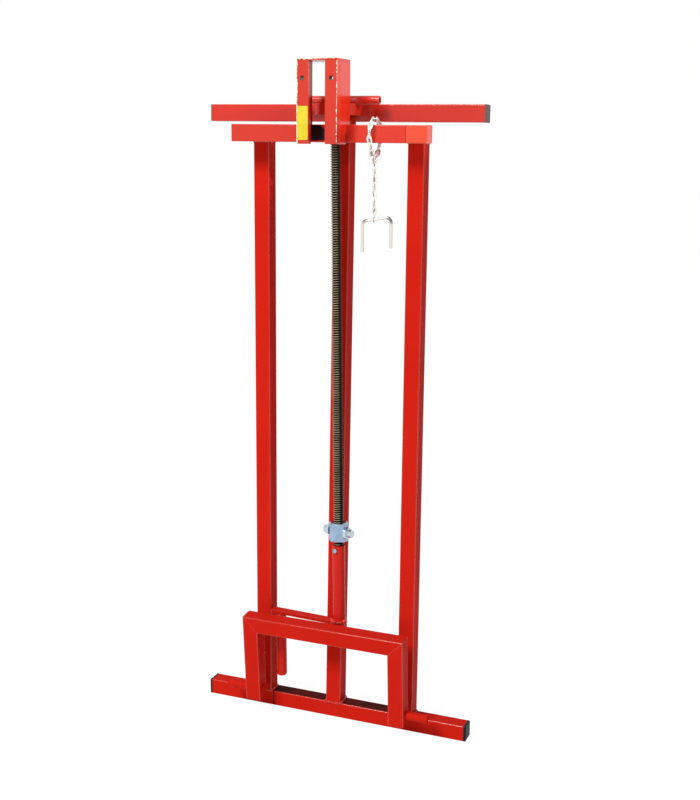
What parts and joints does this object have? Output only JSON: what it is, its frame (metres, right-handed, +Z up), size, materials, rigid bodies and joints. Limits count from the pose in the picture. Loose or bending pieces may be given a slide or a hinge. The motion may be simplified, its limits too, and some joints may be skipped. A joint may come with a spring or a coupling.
{
  "type": "lawn mower lift jack",
  "caption": "Folding lift jack for riding mowers: two-upright lift frame hinged at the foot to a spine, lead screw with crank and nut, flip-up wheel stop, chained locking pin.",
  "frame": {"origin": "on the floor under the middle of the foot line", "axes": "+X to the right, +Y to the back, +Z up; the jack stands folded"},
  "size_m": [0.6224, 0.1718, 1.43],
  "materials": {
    "red_paint": "gloss red paint on welded steel tube",
    "black_plastic": "moulded black plastic",
    "brown_plastic": "grey-brown plastic plug",
    "zinc": "bluish zinc plating",
    "bare_steel": "plain turned steel, hidden",
    "black_steel": "blackened and greased thread"
  },
  "bodies": {
    "lift_frame": {"left_foot_tube": "red_paint", "right_foot_tube": "red_paint", "left_foot_cap": "black_plastic", "right_foot_cap": "black_plastic", "left_foot_bush": "bare_steel", "right_foot_bush": "bare_steel", "foot_axle": "bare_steel", "left_upright": "red_paint", "right_upright": "red_paint", "left_upright_head": "red_paint", "right_upright_head": "red_paint", "crossbar": "red_paint", "crossbar_end_block": "red_paint", "bracket_left_plate": "red_paint", "bracket_right_plate": "red_paint", "bracket_left_strip": "red_paint", "bracket_right_strip": "red_paint", "bracket_top_plate": "red_paint", "left_stop_lug": "red_paint", "right_stop_lug": "red_paint", "chain_loop": "zinc"},
    "spine": {"spine_foot_tube": "red_paint", "left_spine_bush": "bare_steel", "right_spine_bush": "bare_steel", "spine_tube": "red_paint", "rear_crossbar": "red_paint", "rear_left_plug": "brown_plastic", "rear_right_plug": "brown_plastic", "screw_hinge_block": "red_paint", "screw_hinge_tube": "red_paint"},
    "screw": {"lift_screw": "black_steel", "crank_hub": "red_paint", "crank_cross_bolt": "zinc", "crank_arm": "red_paint", "crank_grip": "red_paint"},
    "nut": {"nut_block": "zinc", "left_trunnion_bolt": "zinc", "right_trunnion_bolt": "zinc"},
    "stop_frame": {"stop_left_leg": "red_paint", "stop_right_leg": "red_paint", "stop_top_bar": "red_paint", "left_stop_pin": "red_paint", "right_stop_pin": "red_paint"},
    "chain": {"chain_strand": "zinc"},
    "locking_pin": {"locking_pin": "zinc"}
  },
  "joints": [
    {"name": "spine_fold", "type": "hinge", "parent": "lift_frame", "child": "spine", "pos_m": [0, 0, 0.0175], "axis": [-1, 0, 0], "range_deg": [0, 88.7]},
    {"name": "crank_turn", "type": "hinge", "parent": "spine", "child": "screw", "pos_m": [0.02515, -0.03551, 0], "axis": [-0.0207, 0.0114, 0.9997], "range_deg": [-6, 8]},
    {"name": "nut_travel", "type": "slide", "parent": "spine", "child": "nut", "axis": [-0.0207, 0.0114, 0.9997], "range_m": [0, 0.77]},
    {"name": "stop_flip", "type": "hinge", "parent": "lift_frame", "child": "stop_frame", "pos_m": [0, -0.0615, 0.06], "axis": [1, 0, 0], "range_deg": [-1.5, 84]},
    {"name": "chain_swing", "type": "hinge", "parent": "lift_frame", "child": "chain", "pos_m": [0.097, -0.0563, 1.2213], "axis": [1, 0, 0], "range_deg": [-75, 75]},
    {"name": "pin_swing", "type": "hinge", "parent": "chain", "child": "locking_pin", "pos_m": [0.097, -0.0563, 1.1198], "axis": [1, 0, 0], "range_deg": [-60, 60]}
  ]
}
